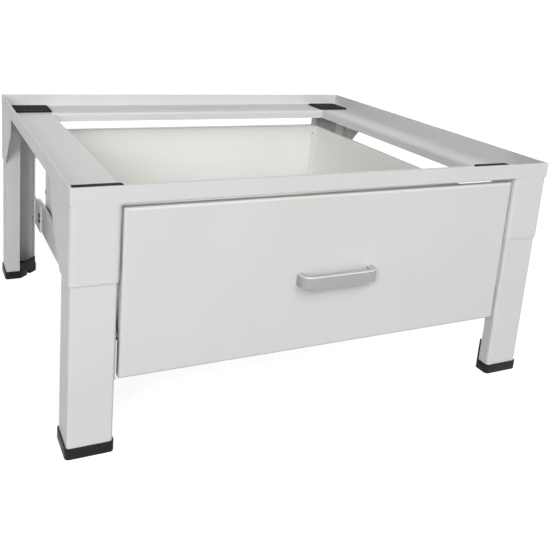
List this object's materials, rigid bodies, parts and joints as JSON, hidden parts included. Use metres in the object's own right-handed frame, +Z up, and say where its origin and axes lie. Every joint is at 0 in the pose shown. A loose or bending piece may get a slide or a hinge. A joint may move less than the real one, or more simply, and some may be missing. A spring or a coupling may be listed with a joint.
{
  "type": "washer pedestal drawer",
  "caption": "Open steel stand with raised-rim top shelf, gusseted corner legs on black feet, and a full-width storage drawer on ball bearing slides with a bow handle.",
  "frame": {"origin": "on the floor, under the middle of the whole object with its handle, drawer closed", "axes": "+Z up, +X to the right as seen from the front, the drawer pulls out towards -Y"},
  "size_m": [0.63, 0.555, 0.3],
  "materials": {
    "stand_paint": "satin white powder coat",
    "drawer_front": "satin white powder coat",
    "drawer_box": "satin off-white powder coat",
    "rubber_pad": "matt black rubber",
    "foot_plastic": "matt black moulded plastic",
    "bumper_plastic": "matt black moulded plastic",
    "slide_steel": "bright zinc plate",
    "ball_steel": "polished",
    "screw_steel": "bright zinc plate",
    "screw_black": "black zinc plate",
    "handle": "satin"
  },
  "bodies": {
    "stand": {"front_rail": "stand_paint", "back_rail": "stand_paint", "left_rail": "stand_paint", "right_rail": "stand_paint", "front_left_post": "stand_paint", "front_right_post": "stand_paint", "back_left_post": "stand_paint", "back_right_post": "stand_paint", "front_left_leg": "stand_paint", "front_right_leg": "stand_paint", "back_left_leg": "stand_paint", "back_right_leg": "stand_paint", "front_left_foot": "foot_plastic", "front_right_foot": "foot_plastic", "back_left_foot": "foot_plastic", "back_right_foot": "foot_plastic", "front_left_pad": "rubber_pad", "front_right_pad": "rubber_pad", "back_left_pad": "rubber_pad", "back_right_pad": "rubber_pad", "leg_screws": "screw_steel", "left_front_bracket": "stand_paint", "right_front_bracket": "stand_paint", "left_rear_bracket": "stand_paint", "right_rear_bracket": "stand_paint", "bracket_screws": "screw_steel", "slide_screws": "screw_black", "left_outer_slide": "slide_steel", "right_outer_slide": "slide_steel", "slide_bumpers": "bumper_plastic"},
    "drawer": {"left_inner_slide": "slide_steel", "right_inner_slide": "slide_steel", "drawer_slide_screws": "screw_steel", "drawer_left_side": "drawer_box", "drawer_right_side": "drawer_box", "drawer_inner_front": "drawer_box", "drawer_back": "drawer_box", "drawer_bottom": "drawer_box", "drawer_box_screws": "screw_steel", "drawer_front": "drawer_front", "drawer_front_screws": "screw_steel", "handle": "handle", "handle_spacers": "screw_steel", "handle_screws": "screw_steel"},
    "left_middle": {"left_middle_slide": "slide_steel"},
    "left_outer_ball_cage": {"left_outer_cage": "slide_steel", "left_outer_balls": "ball_steel"},
    "left_inner_ball_cage": {"left_inner_cage": "slide_steel", "left_inner_balls": "ball_steel"},
    "right_middle": {"right_middle_slide": "slide_steel"},
    "right_outer_ball_cage": {"right_outer_cage": "slide_steel", "right_outer_balls": "ball_steel"},
    "right_inner_ball_cage": {"right_inner_cage": "slide_steel", "right_inner_balls": "ball_steel"}
  },
  "joints": [
    {"name": "drawer_pull", "type": "slide", "parent": "stand", "child": "drawer", "axis": [0, -1, 0], "range_m": [0, 0.5]},
    {"name": "left_middle_run", "type": "slide", "parent": "stand", "child": "left_middle", "axis": [0, -1, 0], "range_m": [0, 0.25]},
    {"name": "left_outer_ball_cage_run", "type": "slide", "parent": "stand", "child": "left_outer_ball_cage", "axis": [0, -1, 0], "range_m": [0, 0.125]},
    {"name": "left_inner_ball_cage_run", "type": "slide", "parent": "stand", "child": "left_inner_ball_cage", "axis": [0, -1, 0], "range_m": [0, 0.375]},
    {"name": "right_middle_run", "type": "slide", "parent": "stand", "child": "right_middle", "axis": [0, -1, 0], "range_m": [0, 0.25]},
    {"name": "right_outer_ball_cage_run", "type": "slide", "parent": "stand", "child": "right_outer_ball_cage", "axis": [0, -1, 0], "range_m": [0, 0.125]},
    {"name": "right_inner_ball_cage_run", "type": "slide", "parent": "stand", "child": "right_inner_ball_cage", "axis": [0, -1, 0], "range_m": [0, 0.375]}
  ],
  "couplings": [
    {"joint": "left_middle_run", "follows": "drawer_pull", "ratio": 0.5},
    {"joint": "left_outer_ball_cage_run", "follows": "drawer_pull", "ratio": 0.25},
    {"joint": "left_inner_ball_cage_run", "follows": "drawer_pull", "ratio": 0.75},
    {"joint": "right_middle_run", "follows": "drawer_pull", "ratio": 0.5},
    {"joint": "right_outer_ball_cage_run", "follows": "drawer_pull", "ratio": 0.25},
    {"joint": "right_inner_ball_cage_run", "follows": "drawer_pull", "ratio": 0.75}
  ]
}
